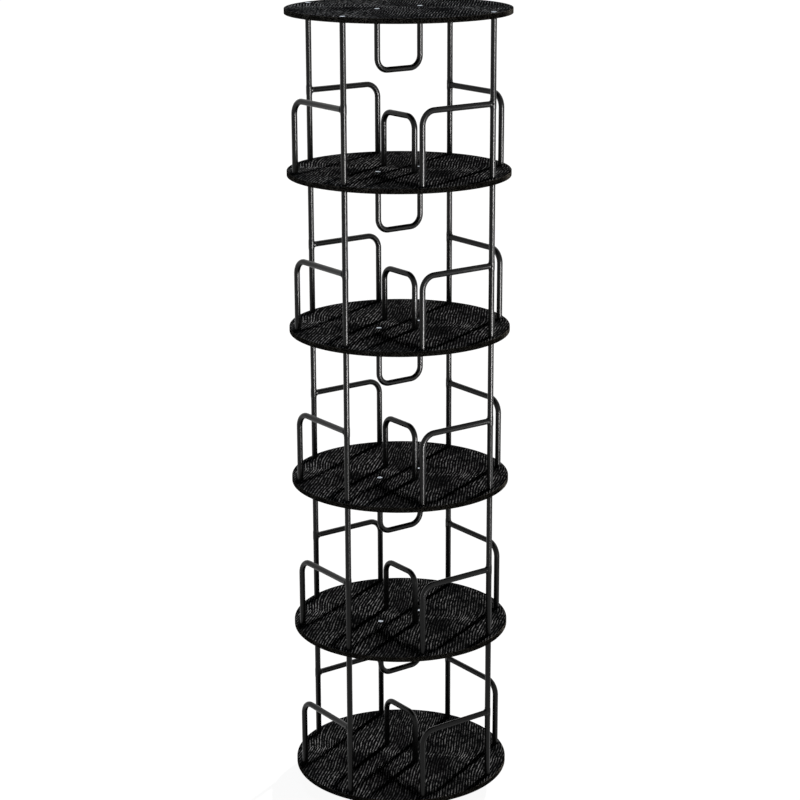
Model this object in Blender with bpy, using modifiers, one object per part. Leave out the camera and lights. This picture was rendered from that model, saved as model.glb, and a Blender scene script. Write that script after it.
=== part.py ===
"""Revolving bookcase: a round tower of boards and bent steel tube that turns on a ball-bearing base.

Metres, +Z up. The origin is on the turning axis at floor level. Four side frames stand at the
diagonals of every tier, so its book bays face +X, +Y, -X and -Y.
"""

from math import cos, pi, radians, sin, sqrt, tan

import bmesh
import bpy
from mathutils import Matrix, Vector

# Fits
SEAT_GAP = 0.0003  # between pieces that rest on each other
RUNNING_GAP = 0.0003  # between pieces that turn past each other
THREAD_CLEARANCE = 0.0004  # all round a screw or a stud in its hole

# Boards
TIERS = 5
TIER_PITCH = 0.284  # top face of one board to the top face of the next
BOARD_DIAMETER = 0.400
BOARD_THICKNESS = 0.0095

# Side frames: a post, and a guard tube that leaves it level and bends down to the board
TUBE_DIAMETER = 0.0105
POST_INSET = 0.013  # rim of the board to the middle of a post or a guard leg
FRAME_SPAN = 0.1515  # post to guard leg, middle to middle
GUARD_HEIGHT = 0.128  # board to the middle of the level run
GUARD_BEND = 0.025  # bend radius at the middle of the tube
WELD_BUILD_UP = 0.00045  # collar of the weld, outside the post
WELD_LENGTH = 0.020
WELD_TAPER = 0.004

# Loops: one stands on each board and one hangs under the next
LOOP_SPAN = 0.0925  # leg to leg, middle to middle
LOOP_REACH = 0.0975  # board to the middle of the crossbar
LOOP_BEND = 0.0215

# Screws, studs and nuts
THREAD_DIAMETER = 0.005
THREAD_HOLD = 0.0065  # length of thread in a tube or through a nut
THREAD_RUNOUT = 0.0015  # bore past the end of the thread
HEAD_DIAMETER = 0.0095
HEAD_HEIGHT = 0.0027
HEAD_RIM = 0.0004  # upright part of a countersunk head
NUT_ACROSS_FLATS = 0.008
NUT_HEIGHT = 0.004
NUT_SIDES = 6

# Turntable: two pressed plates, a ring of caged balls between them, and a rivet through the middle
PLATE_DIAMETER = 0.220
PLATE_THICKNESS = 0.002
TRACK_INSET = 0.015  # rim of the plate to the middle of the ball track
TRACK_DEPTH = 0.0008
TRACK_SIDE_GAP = 0.001  # ball to each wall of its track
BALL_DIAMETER = 0.006
BALL_COUNT = 12
CAGE_WIDTH = 0.009
CAGE_THICKNESS = 0.0012
RIVET_DIAMETER = 0.010
RIVET_HEAD_DIAMETER = 0.020
RIVET_HEAD_HEIGHT = 0.0012
DISH_MARGIN = 0.003  # dished middle of a plate, outside the rivet's head

# Base: a round board on a rubber ring that is let into its underside
BASE_DIAMETER = 0.300
BASE_THICKNESS = 0.015
FOOT_HEIGHT = 0.012
FOOT_WIDTH = 0.012
FOOT_SEAT = 0.003  # depth of the groove that holds the ring
FOOT_INSET = 0.004  # rim of the base to the ring

# Facets
BOARD_SIDES = 40
TUBE_SIDES = 8
HOLE_SIDES = 8
PLATE_SIDES = 30
RIVET_SIDES = 12
BALL_SEGMENTS = 8
BALL_RINGS = 4
BEND_STEPS = 4
SHARP_ANGLE = radians(50)
CUT_MARGIN = 0.002  # how far a cutter runs past the face it opens
MERGE_DISTANCE = 0.000001

# Sizes that follow from those above
TUBE_RADIUS = TUBE_DIAMETER / 2
BOARD_RADIUS = BOARD_DIAMETER / 2
BASE_RADIUS = BASE_DIAMETER / 2
THREAD_RADIUS = THREAD_DIAMETER / 2
HOLE_RADIUS = THREAD_RADIUS + THREAD_CLEARANCE
HEAD_RADIUS = HEAD_DIAMETER / 2
BORE_DEPTH = THREAD_HOLD + THREAD_RUNOUT
POST_CIRCLE = BOARD_RADIUS - POST_INSET
FRAME_DISTANCE = sqrt(POST_CIRCLE**2 - (FRAME_SPAN / 2) ** 2)  # axis to the plane of a side frame
POST_LENGTH = TIER_PITCH - BOARD_THICKNESS - 2 * SEAT_GAP
STUD_LENGTH = BOARD_THICKNESS + 2 * SEAT_GAP + THREAD_HOLD
SCREW_LENGTH = BOARD_THICKNESS + SEAT_GAP + THREAD_HOLD
PLATE_RADIUS = PLATE_DIAMETER / 2
BALL_RADIUS = BALL_DIAMETER / 2
TRACK_RADIUS = PLATE_RADIUS - TRACK_INSET
DISH_DEPTH = RIVET_HEAD_HEIGHT + SEAT_GAP
PLATE_HALF_GAP = BALL_RADIUS + RUNNING_GAP - TRACK_DEPTH

# Heights above the floor
BASE_BOTTOM = FOOT_HEIGHT - FOOT_SEAT + SEAT_GAP
BASE_TOP = BASE_BOTTOM + BASE_THICKNESS
LOWER_PLATE_BOTTOM = BASE_TOP + SEAT_GAP
BALL_LEVEL = LOWER_PLATE_BOTTOM + PLATE_THICKNESS + PLATE_HALF_GAP
UPPER_PLATE_TOP = BALL_LEVEL + PLATE_HALF_GAP + PLATE_THICKNESS
BOTTOM_BOARD_BOTTOM = UPPER_PLATE_TOP + SEAT_GAP
BOTTOM_BOARD_TOP = BOTTOM_BOARD_BOTTOM + BOARD_THICKNESS

# Directions seen from above, in radians
SIDES = {"ne": pi / 4, "nw": 3 * pi / 4, "sw": 5 * pi / 4, "se": 7 * pi / 4}
HANGING_LOOP_ENDS = {"ne": pi / 4, "sw": 5 * pi / 4}
STANDING_LOOP_ENDS = {"nw": 3 * pi / 4, "se": 7 * pi / 4}


def clear_scene():
    for obj in list(bpy.data.objects):
        bpy.data.objects.remove(obj)


def new_collection(name):
    collection = bpy.data.collections.new(name)
    bpy.context.scene.collection.children.link(collection)
    return collection


def new_material(name, colour, roughness, metallic):
    material = bpy.data.materials.new(name)
    material.use_nodes = True
    shader = material.node_tree.nodes["Principled BSDF"]
    shader.inputs["Base Color"].default_value = (*colour, 1.0)
    shader.inputs["Roughness"].default_value = roughness
    shader.inputs["Metallic"].default_value = metallic
    material.diffuse_color = (*colour, 1.0)
    return material


def welded(mesh):
    """The same mesh with its caps and its seams joined."""
    work = bmesh.new()
    work.from_mesh(mesh)
    bmesh.ops.remove_doubles(work, verts=work.verts, dist=MERGE_DISTANCE)
    work.to_mesh(mesh)
    work.free()
    return mesh


def settled(obj):
    """The object's final mesh, with its modifiers or bevel applied and the object removed."""
    bpy.context.scene.collection.objects.link(obj)
    graph = bpy.context.evaluated_depsgraph_get()
    mesh = bpy.data.meshes.new_from_object(obj.evaluated_get(graph))
    mesh.transform(obj.matrix_world)
    bpy.data.objects.remove(obj)
    return welded(mesh)


def turned(name, profile, sides):
    """What a profile of (radius, height) points sweeps about Z. It runs down its outer side."""
    edges = [(i, i + 1) for i in range(len(profile) - 1)]
    if profile[0][0] > 0:
        edges.append((len(profile) - 1, 0))
    mesh = bpy.data.meshes.new(name)
    mesh.from_pydata([(radius, 0, height) for radius, height in profile], edges, [])
    obj = bpy.data.objects.new(name, mesh)
    screw = obj.modifiers.new("Turn", "SCREW")
    screw.steps = sides
    screw.render_steps = sides
    screw.use_merge_vertices = True
    screw.merge_threshold = MERGE_DISTANCE
    return settled(obj)


def cylinder(name, radius, low, high, sides):
    work = bmesh.new()
    middle = Matrix.Translation((0, 0, (low + high) / 2))
    bmesh.ops.create_cone(
        work, cap_ends=True, segments=sides, radius1=radius, radius2=radius, depth=high - low, matrix=middle
    )
    mesh = bpy.data.meshes.new(name)
    work.to_mesh(mesh)
    work.free()
    return mesh


def copies(name, mesh, places):
    """One mesh that holds a copy of another at each place."""
    work = bmesh.new()
    for place in places:
        copy = mesh.copy()
        copy.transform(Matrix.Translation(place))
        work.from_mesh(copy)
        bpy.data.meshes.remove(copy)
    joined = bpy.data.meshes.new(name)
    work.to_mesh(joined)
    work.free()
    return joined


def combined(mesh, tool_mesh, operation):
    """A mesh joined with, or cut by, another."""
    tool = bpy.data.objects.new("tool", tool_mesh)
    bpy.context.scene.collection.objects.link(tool)
    obj = bpy.data.objects.new("work", mesh)
    boolean = obj.modifiers.new("Boolean", "BOOLEAN")
    boolean.operation = operation
    boolean.object = tool
    result = settled(obj)
    bpy.data.objects.remove(tool)
    return result


def bent_path(corners, radius):
    """The middle line of a bent tube: straight runs between corners, with an arc at each bend."""
    path = [corners[0]]
    for before, corner, after in zip(corners, corners[1:], corners[2:]):
        back = (before - corner).normalized()
        ahead = (after - corner).normalized()
        half_angle = back.angle(ahead) / 2
        setback = radius / tan(half_angle)
        centre = corner + (back + ahead).normalized() * radius / sin(half_angle)
        start = corner + back * setback - centre
        for step in range(BEND_STEPS + 1):
            angle = (pi - 2 * half_angle) * step / BEND_STEPS
            path.append(centre + start * cos(angle) - back * radius * sin(angle))
    path.append(corners[-1])
    return path


def tube(name, path):
    """A round tube along a path, as a closed mesh."""
    curve = bpy.data.curves.new(name, "CURVE")
    curve.dimensions = "3D"
    curve.bevel_depth = TUBE_RADIUS
    curve.bevel_resolution = (TUBE_SIDES - 4) // 2  # each step adds two sides to the first four
    curve.use_fill_caps = True
    spline = curve.splines.new("POLY")
    spline.points.add(len(path) - 1)
    for point, place in zip(spline.points, path):
        point.co = (*place, 1)
    return settled(bpy.data.objects.new(name, curve))


def place_object(name, mesh, material, parent, location=(0, 0, 0), rotation=(0, 0, 0)):
    obj = bpy.data.objects.new(name, mesh)
    parts.objects.link(obj)
    if not mesh.materials:
        mesh.materials.append(material)
        mesh.shade_smooth()
        mesh.set_sharp_from_angle(angle=SHARP_ANGLE)
    obj.parent = parent
    obj.location = location
    obj.rotation_euler = rotation
    return obj


def around(distance, angle, height=0.0):
    return Vector((distance * cos(angle), distance * sin(angle), height))


def frame_point(angle, along):
    """A point in the plane of the side frame that faces an angle, so far along it from its middle."""
    return Matrix.Rotation(angle, 3, "Z") @ Vector((FRAME_DISTANCE, along, 0))


def post_places():
    return {side: frame_point(angle, FRAME_SPAN / 2) for side, angle in SIDES.items()}


def leg_places():
    return {side: frame_point(angle, -FRAME_SPAN / 2) for side, angle in SIDES.items()}


def loop_places(ends):
    return {end: around(LOOP_SPAN / 2, angle) for end, angle in ends.items()}


def board_top(index):
    """Height of a board's top face, from 0 for the bottom board to TIERS for the top board."""
    return BOTTOM_BOARD_TOP + index * TIER_PITCH


def bore_cutter(low, high):
    return cylinder("bore_cutter", HOLE_RADIUS, low, high, HOLE_SIDES)


def plain_hole():
    """Cutter for a hole through a board whose top face is at height 0."""
    return cylinder("hole", HOLE_RADIUS, -BOARD_THICKNESS - CUT_MARGIN, CUT_MARGIN, HOLE_SIDES)


def countersunk_hole():
    """Cutter for a hole with a seat for a screw's head."""
    seat_radius = HEAD_RADIUS + THREAD_CLEARANCE
    profile = [
        (0, CUT_MARGIN),
        (seat_radius, CUT_MARGIN),
        (seat_radius, -HEAD_RIM),
        (HOLE_RADIUS, -HEAD_HEIGHT),
        (HOLE_RADIUS, -BOARD_THICKNESS - CUT_MARGIN),
        (0, -BOARD_THICKNESS - CUT_MARGIN),
    ]
    return turned("countersunk_hole", profile, HOLE_SIDES)


def add_board(name, index, plain_places, countersunk_places):
    """A round board, drilled for studs and screws."""
    disc = cylinder(name, BOARD_RADIUS, -BOARD_THICKNESS, 0, BOARD_SIDES)
    board = place_object(name, disc, laminate, tower, (0, 0, board_top(index)))
    for kind, hole, places in (
        ("plain_holes", plain_hole, plain_places),
        ("countersunk_holes", countersunk_hole, countersunk_places),
    ):
        if not places:
            continue
        cutter = bpy.data.objects.new(f"{name}_{kind}", copies(kind, hole(), places))
        cutters.objects.link(cutter)
        cutter.parent = board
        cutter.hide_render = True
        cutter.display_type = "WIRE"
        drill = board.modifiers.new(kind, "BOOLEAN")
        drill.object = cutter


def add_boards():
    standing = [
        *post_places().values(),
        *leg_places().values(),
        *loop_places(STANDING_LOOP_ENDS).values(),
    ]
    hanging = list(loop_places(HANGING_LOOP_ENDS).values())
    add_board("bottom_board", 0, standing, [])
    for index in range(1, TIERS):
        add_board(f"shelf_board_{index}", index, standing, hanging)
    add_board("top_board", TIERS, [], [*post_places().values(), *hanging])


def post_mesh():
    """A post with a bore in its head, the weld collar, and a stud under its foot at height 0."""
    collar_radius = TUBE_RADIUS + WELD_BUILD_UP
    rail_height = GUARD_HEIGHT - SEAT_GAP
    profile = [
        (0, POST_LENGTH - BORE_DEPTH),
        (HOLE_RADIUS, POST_LENGTH - BORE_DEPTH),
        (HOLE_RADIUS, POST_LENGTH),
        (TUBE_RADIUS, POST_LENGTH),
        (TUBE_RADIUS, rail_height + WELD_LENGTH / 2),
        (collar_radius, rail_height + WELD_LENGTH / 2 - WELD_TAPER),
        (collar_radius, rail_height - WELD_LENGTH / 2 + WELD_TAPER),
        (TUBE_RADIUS, rail_height - WELD_LENGTH / 2),
        (TUBE_RADIUS, 0),
        (THREAD_RADIUS, 0),
        (THREAD_RADIUS, -STUD_LENGTH),
        (0, -STUD_LENGTH),
    ]
    return turned("post", profile, TUBE_SIDES)


def side_frame_mesh():
    """Post and guard tube as one welded piece, facing +X, with the post's foot at height 0."""
    post_place = frame_point(0, FRAME_SPAN / 2)
    leg_place = frame_point(0, -FRAME_SPAN / 2)
    rail = Vector((0, 0, GUARD_HEIGHT - SEAT_GAP))
    guard = tube("guard", bent_path([post_place + rail, leg_place + rail, leg_place], GUARD_BEND))
    bore = bore_cutter(-CUT_MARGIN, BORE_DEPTH)
    bore.transform(Matrix.Translation(leg_place))
    guard = combined(guard, bore, "DIFFERENCE")
    post = post_mesh()
    post.transform(Matrix.Translation(post_place))
    return combined(post, guard, "UNION")


def add_side_frames():
    mesh = side_frame_mesh()
    for tier in range(1, TIERS + 1):
        foot = (0, 0, board_top(tier - 1) + SEAT_GAP)
        for side, angle in SIDES.items():
            place_object(f"tier{tier}_side_frame_{side}", mesh, powder_coat, tower, foot, (0, 0, angle))


def loop_mesh():
    """A loop that stands at height 0 in the XZ plane, with a threaded bore in the end of each leg."""
    left = Vector((-LOOP_SPAN / 2, 0, 0))
    right = Vector((LOOP_SPAN / 2, 0, 0))
    crossbar = Vector((0, 0, LOOP_REACH - SEAT_GAP))
    loop = tube("loop", bent_path([left, left + crossbar, right + crossbar, right], LOOP_BEND))
    bores = copies("bores", bore_cutter(-CUT_MARGIN, BORE_DEPTH), [left, right])
    return combined(loop, bores, "DIFFERENCE")


def add_loops():
    mesh = loop_mesh()
    standing_turn = (0, 0, STANDING_LOOP_ENDS["nw"])
    hanging_turn = (pi, 0, HANGING_LOOP_ENDS["ne"])
    for tier in range(1, TIERS + 1):
        floor = (0, 0, board_top(tier - 1) + SEAT_GAP)
        ceiling = (0, 0, board_top(tier) - BOARD_THICKNESS - SEAT_GAP)
        place_object(f"tier{tier}_standing_loop", mesh, powder_coat, tower, floor, standing_turn)
        place_object(f"tier{tier}_hanging_loop", mesh, powder_coat, tower, ceiling, hanging_turn)


def add_screws():
    """Countersunk screws: through the top board into the posts, and through boards into hanging loops."""
    profile = [
        (0, 0),
        (HEAD_RADIUS, 0),
        (HEAD_RADIUS, -HEAD_RIM),
        (THREAD_RADIUS, -HEAD_HEIGHT),
        (THREAD_RADIUS, -SCREW_LENGTH),
        (0, -SCREW_LENGTH),
    ]
    mesh = turned("screw", profile, HOLE_SIDES)
    for side, place in post_places().items():
        head = place + Vector((0, 0, board_top(TIERS)))
        place_object(f"post_screw_{side}", mesh, zinc, tower, head)
    for tier in range(1, TIERS + 1):
        for end, place in loop_places(HANGING_LOOP_ENDS).items():
            head = place + Vector((0, 0, board_top(tier)))
            place_object(f"tier{tier}_loop_screw_{end}", mesh, zinc, tower, head)


def add_nuts():
    """Nuts on the studs of the lowest posts, under the bottom board."""
    corner_radius = NUT_ACROSS_FLATS / 2 / cos(pi / NUT_SIDES)
    hexagon = cylinder("nut", corner_radius, -NUT_HEIGHT, 0, NUT_SIDES)
    mesh = combined(hexagon, bore_cutter(-NUT_HEIGHT - CUT_MARGIN, CUT_MARGIN), "DIFFERENCE")
    under_board = Vector((0, 0, BOTTOM_BOARD_BOTTOM - SEAT_GAP))
    for side, place in post_places().items():
        place_object(f"post_nut_{side}", mesh, zinc, tower, place + under_board)


def plate_mesh():
    """A pressed plate with its outer face at height 0, a ball track above, and a dished middle."""
    hole_radius = RIVET_DIAMETER / 2 + RUNNING_GAP
    dish_radius = RIVET_HEAD_DIAMETER / 2 + DISH_MARGIN
    mouth = sqrt(BALL_RADIUS**2 - PLATE_HALF_GAP**2) + TRACK_SIDE_GAP
    floor = mouth - TRACK_DEPTH
    profile = [
        (hole_radius, PLATE_THICKNESS + DISH_DEPTH),
        (dish_radius, PLATE_THICKNESS + DISH_DEPTH),
        (dish_radius + DISH_DEPTH, PLATE_THICKNESS),
        (TRACK_RADIUS - mouth, PLATE_THICKNESS),
        (TRACK_RADIUS - floor, PLATE_THICKNESS - TRACK_DEPTH),
        (TRACK_RADIUS + floor, PLATE_THICKNESS - TRACK_DEPTH),
        (TRACK_RADIUS + mouth, PLATE_THICKNESS),
        (PLATE_RADIUS, PLATE_THICKNESS),
        (PLATE_RADIUS, 0),
        (dish_radius + DISH_DEPTH, 0),
        (dish_radius, DISH_DEPTH),
        (hole_radius, DISH_DEPTH),
    ]
    return turned("plate", profile, PLATE_SIDES)


def ball_ring_mesh():
    """The balls and the flat cage that spaces them, as one piece with its middle plane at height 0."""
    inner = TRACK_RADIUS - CAGE_WIDTH / 2
    outer = TRACK_RADIUS + CAGE_WIDTH / 2
    top = CAGE_THICKNESS / 2
    cage = turned("cage", [(inner, top), (outer, top), (outer, -top), (inner, -top)], PLATE_SIDES)
    work = bmesh.new()
    bmesh.ops.create_uvsphere(work, u_segments=BALL_SEGMENTS, v_segments=BALL_RINGS, radius=BALL_RADIUS)
    ball = bpy.data.meshes.new("ball")
    work.to_mesh(ball)
    work.free()
    places = [around(TRACK_RADIUS, 2 * pi * i / BALL_COUNT) for i in range(BALL_COUNT)]
    return combined(cage, copies("balls", ball, places), "UNION")


def rivet_mesh():
    """The pivot: a shank through both plates, with a flat head in each dish."""
    shank = RIVET_DIAMETER / 2
    head = RIVET_HEAD_DIAMETER / 2
    top = UPPER_PLATE_TOP - BALL_LEVEL
    profile = [
        (0, top),
        (head, top),
        (head, top - RIVET_HEAD_HEIGHT),
        (shank, top - RIVET_HEAD_HEIGHT),
        (shank, RIVET_HEAD_HEIGHT - top),
        (head, RIVET_HEAD_HEIGHT - top),
        (head, -top),
        (0, -top),
    ]
    return turned("rivet", profile, RIVET_SIDES)


def add_turntable():
    plate = plate_mesh()
    place_object("turntable_lower_plate", plate, bearing_steel, base, (0, 0, LOWER_PLATE_BOTTOM))
    place_object("turntable_upper_plate", plate, bearing_steel, tower, (0, 0, UPPER_PLATE_TOP), (pi, 0, 0))
    place_object("turntable_pivot", rivet_mesh(), bearing_steel, base, (0, 0, BALL_LEVEL))
    place_object("turntable_ball_ring", ball_ring_mesh(), bearing_steel, ball_axis, (0, 0, BALL_LEVEL))


def add_base():
    """The base board, with a groove in its underside, and the rubber ring that stands in the groove."""
    ring_outer = BASE_RADIUS - FOOT_INSET
    ring_inner = ring_outer - FOOT_WIDTH
    profile = [
        (0, BASE_THICKNESS),
        (BASE_RADIUS, BASE_THICKNESS),
        (BASE_RADIUS, 0),
        (ring_outer + SEAT_GAP, 0),
        (ring_outer + SEAT_GAP, FOOT_SEAT),
        (ring_inner - SEAT_GAP, FOOT_SEAT),
        (ring_inner - SEAT_GAP, 0),
        (0, 0),
    ]
    board = turned("base", profile, BOARD_SIDES)
    place_object("base_board", board, laminate, base, (0, 0, BASE_BOTTOM))
    ring = [(ring_inner, FOOT_HEIGHT), (ring_outer, FOOT_HEIGHT), (ring_outer, 0), (ring_inner, 0)]
    place_object("foot_ring", turned("foot_ring", ring, BOARD_SIDES), rubber, base)


def add_axis(name):
    """An empty on the turning axis, which carries the pieces that turn together."""
    empty = bpy.data.objects.new(name, None)
    parts.objects.link(empty)
    return empty


clear_scene()
parts = new_collection("revolving_bookcase")
cutters = new_collection("cutters")
cutters.hide_render = True

laminate = new_material("black_wood_laminate", (0.012, 0.012, 0.014), 0.45, 0.0)
powder_coat = new_material("black_powder_coat", (0.010, 0.010, 0.010), 0.35, 0.0)
zinc = new_material("zinc_plated_steel", (0.62, 0.64, 0.68), 0.28, 1.0)
bearing_steel = new_material("bearing_steel", (0.50, 0.50, 0.51), 0.35, 1.0)
rubber = new_material("black_rubber", (0.015, 0.015, 0.015), 0.85, 0.0)

base = add_axis("base")
tower = add_axis("tower")
ball_axis = add_axis("ball_ring")

add_base()
add_turntable()
add_boards()
add_side_frames()
add_loops()
add_screws()
add_nuts()
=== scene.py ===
"""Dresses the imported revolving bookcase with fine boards, tubes, fasteners and a fine turntable.

Then adds the stage, the light and the photograph's camera. Metres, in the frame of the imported
model: +Z up, the turning axis at the origin.
"""

from itertools import count
from math import asin, cos, hypot, pi, radians, sin, sqrt, tan

import bmesh
import bpy
from mathutils import Matrix, Vector


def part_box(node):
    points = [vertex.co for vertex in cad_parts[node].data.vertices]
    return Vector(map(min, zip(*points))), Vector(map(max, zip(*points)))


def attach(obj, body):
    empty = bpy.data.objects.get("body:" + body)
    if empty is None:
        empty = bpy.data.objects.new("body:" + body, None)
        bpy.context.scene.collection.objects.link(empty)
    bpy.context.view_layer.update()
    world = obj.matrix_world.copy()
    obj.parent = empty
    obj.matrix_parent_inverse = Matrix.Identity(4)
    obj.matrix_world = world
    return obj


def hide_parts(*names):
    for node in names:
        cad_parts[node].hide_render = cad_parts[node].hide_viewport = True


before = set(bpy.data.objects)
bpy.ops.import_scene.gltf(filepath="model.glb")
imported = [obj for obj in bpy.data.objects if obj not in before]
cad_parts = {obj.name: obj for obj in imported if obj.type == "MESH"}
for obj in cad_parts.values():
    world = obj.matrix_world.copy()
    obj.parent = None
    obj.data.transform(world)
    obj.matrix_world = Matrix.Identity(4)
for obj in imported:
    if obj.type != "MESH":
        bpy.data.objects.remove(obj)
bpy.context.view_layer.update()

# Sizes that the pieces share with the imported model
TIERS = 5
SEAT_GAP = 0.0003  # between pieces that rest on each other
RUNNING_GAP = 0.0003  # between pieces that turn past each other
THREAD_CLEARANCE = 0.0004  # all round a screw or a stud in its hole
BOARD_RADIUS = 0.200
BOARD_THICKNESS = 0.0095
TUBE_RADIUS = 0.00525
POST_CIRCLE = BOARD_RADIUS - 0.013  # middles of the posts and the guard legs, inside the rim
FRAME_SPAN = 0.1515  # post to guard leg, middle to middle
FRAME_DISTANCE = sqrt(POST_CIRCLE**2 - (FRAME_SPAN / 2) ** 2)  # axis to the plane of a side frame
GUARD_HEIGHT = 0.128  # board to the middle of the level run
GUARD_BEND = 0.025
LOOP_SPAN = 0.0925
LOOP_REACH = 0.0975
LOOP_BEND = 0.0215
COLLAR_BUILD_UP = 0.00045
COLLAR_LENGTH = 0.020
COLLAR_TAPER = 0.004
THREAD_RADIUS = 0.0025
THREAD_HOLD = 0.0065  # length of thread in a tube
HOLE_RADIUS = THREAD_RADIUS + THREAD_CLEARANCE
BORE_DEPTH = THREAD_HOLD + 0.0015  # with a run-out past the end of the thread
HEAD_RADIUS = 0.00475
HEAD_HEIGHT = 0.0027
HEAD_RIM = 0.0004
NUT_FLAT = 0.004
NUT_HEIGHT = 0.004
PLATE_RADIUS = 0.110
PLATE_THICKNESS = 0.002
TRACK_RADIUS = PLATE_RADIUS - 0.015
TRACK_DEPTH = 0.0008
TRACK_MOUTH = 0.00266  # half the track's width at the face of the plate
BALL_RADIUS = 0.003
BALL_COUNT = 12
CAGE_WIDTH = 0.009
CAGE_THICKNESS = 0.0012
RIVET_RADIUS = 0.005
RIVET_HOLE = RIVET_RADIUS + RUNNING_GAP
RIVET_HEAD_RADIUS = 0.010
RIVET_HEAD_HEIGHT = 0.0012
DISH_RADIUS = RIVET_HEAD_RADIUS + 0.003
DISH_DEPTH = RIVET_HEAD_HEIGHT + SEAT_GAP
BASE_RADIUS = 0.150
BASE_THICKNESS = 0.015
FOOT_OUTER = BASE_RADIUS - 0.004
FOOT_INNER = FOOT_OUTER - 0.012
FOOT_SEAT = 0.003  # depth of the groove that holds the ring

# Sizes that only the fine pieces have
RIM_ROUND = 0.0009
TUBE_EDGE = 0.0004
THREAD_PITCH = 0.0008
THREAD_RIDGE = 0.00035
WELD_SPREAD = 0.0013  # how far the weld stands off the guard tube
WELD_REACH = 0.0026  # how far it runs along the tube
WELD_SEAT = asin(1 / 3)  # angle round the post from the tube's line to the weld's edge
WELD_SHAPE = ((0, 1), (0.25, 0.55), (0.6, 0.2), (1, 0))  # share of its reach, share of its spread
RECESS_SPAN = 0.0027
RECESS_WIDTH = 0.0009
RECESS_DEPTH = 0.0016
RECESS_TAPER = 0.45
HEAD_EDGE = 0.00025
FIRST_TURN = 1.4  # of the first screw's cross, in radians
TURN_STEP = 1.1  # from each screw's cross to the next
NUT_CHAMFER = 0.0006
NUT_SLOPE = radians(30)  # of the chamfer
CHAMFER_SLACK = 1.001  # keeps the chamfer's cutter off the corners of the nut
PLATE_SCREW_CIRCLE = 0.068
PLATE_SCREW_COUNT = 4
PLATE_SCREW_HEAD = 0.0036
PLATE_SCREW_CROWN = 0.0009  # radius of the flat on top of its dome
PLATE_SCREW_DOME = 0.0016
PLATE_SCREW_RECESS = 0.6  # size of its cross, against that of the other screws
PLATE_SCREW_SHANK = 0.0017
PLATE_SCREW_HOLE = 0.0019
PLATE_SCREW_LENGTH = 0.0095
PLATE_SCREW_STRAIGHT = 0.75  # share of its length before the point
PLATE_SCREW_TIP = 0.3  # share of its width at the point
PILOT_STOP = 1 / 3  # share of a board that is left past a pilot hole
PLATE_EDGE = 0.0003
FOOT_ROUND = 0.0018
FLAT_NORMAL = 0.95  # Z of a normal from which a face counts as flat
CUT_MARGIN = 0.002  # how far a cutter runs past the face it opens
TUBE_SIDES = 32
BEND_STEPS = 14
DISC_SIDES = 192
PLATE_SIDES = 96
HOLE_SIDES = 28
BALL_SIDES = 24
ROUND_STEPS = 5
SHARP_ANGLE = radians(35)

SIDES = {"ne": pi / 4, "nw": 3 * pi / 4, "sw": 5 * pi / 4, "se": 7 * pi / 4}
HANGING_ENDS = {"ne": pi / 4, "sw": 5 * pi / 4}
STANDING_ENDS = {"nw": 3 * pi / 4, "se": 7 * pi / 4}
BOARDS = ["bottom_board", *[f"shelf_board_{i}" for i in range(1, TIERS)], "top_board"]

# The photograph's camera: how far it goes round the bookcase, where it stands, and its lens
VIEW_YAW = radians(8.927)
VIEW_PITCH = radians(16.049)
VIEW_ROLL = -0.00324
VIEW_OFFSET = 0.0002
VIEW_DISTANCE = 3.644
VIEW_HEIGHT = 1.8
VIEW_LENS = 92.977  # millimetres, as is the sensor
SENSOR_WIDTH = 36.0


# Meshes

def finished(work, name):
    """Turns a bmesh into a mesh with outward faces."""
    bmesh.ops.recalc_face_normals(work, faces=work.faces)
    mesh = bpy.data.meshes.new(name)
    work.to_mesh(mesh)
    work.free()
    return mesh


def bridge(work, rings, closed):
    """Joins rings of equal count with quads. An open run of rings is capped at both ends."""
    pairs = list(zip(rings, rings[1:]))
    if closed:
        pairs.append((rings[-1], rings[0]))
    for one, two in pairs:
        for i in range(len(one)):
            work.faces.new((one[i - 1], one[i], two[i], two[i - 1]))
    if not closed:
        work.faces.new(rings[0])
        work.faces.new(rings[-1])


def turned(name, profile, sides, closed=False):
    """What a profile of (radius, height) points sweeps about Z: capped, or a ring where it is closed."""
    work = bmesh.new()
    angles = [2 * pi * i / sides for i in range(sides)]
    rings = []
    for radius, height in profile:
        rings.append([work.verts.new((radius * cos(a), radius * sin(a), height)) for a in angles])
    bridge(work, rings, closed)
    return finished(work, name)


def eased(radius, height, rounding, inward, downward):
    """Profile points of a rounded edge at (radius, height), from its flat face round to its side."""
    points = []
    for step in range(ROUND_STEPS + 1):
        angle = pi / 2 * step / ROUND_STEPS
        in_from_side = inward * rounding * (1 - sin(angle))
        down_from_face = downward * rounding * (1 - cos(angle))
        points.append((radius - in_from_side, height - down_from_face))
    return points


def bent_path(corners, radius):
    """Points and directions along a bent tube: straight between corners, with an arc at each bend."""
    start = (corners[1] - corners[0]).normalized()
    path = [(corners[0], start)]
    for before, corner, after in zip(corners, corners[1:], corners[2:]):
        back = (before - corner).normalized()
        ahead = (after - corner).normalized()
        half_angle = back.angle(ahead) / 2
        centre = corner + (back + ahead).normalized() * radius / sin(half_angle)
        spoke = corner + back * radius / tan(half_angle) - centre
        outward = spoke.normalized()
        for step in range(BEND_STEPS + 1):
            angle = (pi - 2 * half_angle) * step / BEND_STEPS
            point = centre + spoke * cos(angle) - back * radius * sin(angle)
            path.append((point, -outward * sin(angle) - back * cos(angle)))
    path.append((corners[-1], (corners[-1] - corners[-2]).normalized()))
    return path


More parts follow.
